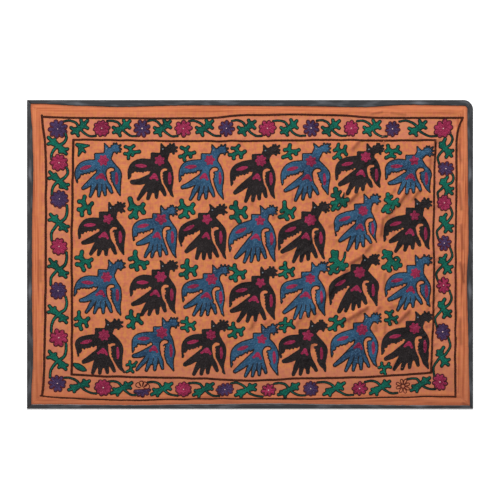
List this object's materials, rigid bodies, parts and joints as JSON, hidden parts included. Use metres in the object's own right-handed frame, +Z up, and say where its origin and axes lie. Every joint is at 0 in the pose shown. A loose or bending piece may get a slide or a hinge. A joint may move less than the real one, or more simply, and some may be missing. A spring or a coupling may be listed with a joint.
{
  "type": "suzani rug",
  "caption": "Flat embroidered suzani rug: an orange ground cloth with rows of birds and a flower-vine border, edged with folded dark satin binding.",
  "frame": {"origin": "under the middle of the rug, on the surface that it lies on", "axes": "+X along the rug's length, +Y across its width towards the birds' heads, +Z up out of its face"},
  "size_m": [2.1, 1.454, 0.0056],
  "materials": {
    "ground_cloth": "dull woven cotton and silk",
    "satin_binding": "soft satin sheen",
    "blue_thread": "silky chain stitch",
    "black_thread": "silky chain stitch",
    "crimson_thread": "silky chain stitch",
    "purple_thread": "silky chain stitch",
    "green_thread": "silky chain stitch",
    "brown_thread": "dull chain stitch",
    "pale_thread": "silky knot stitch"
  },
  "bodies": {
    "root": {"ground_cloth": "ground_cloth", "binding_top": "satin_binding", "binding_bottom": "satin_binding", "binding_left": "satin_binding", "binding_right": "satin_binding"}
  },
  "joints": []
}
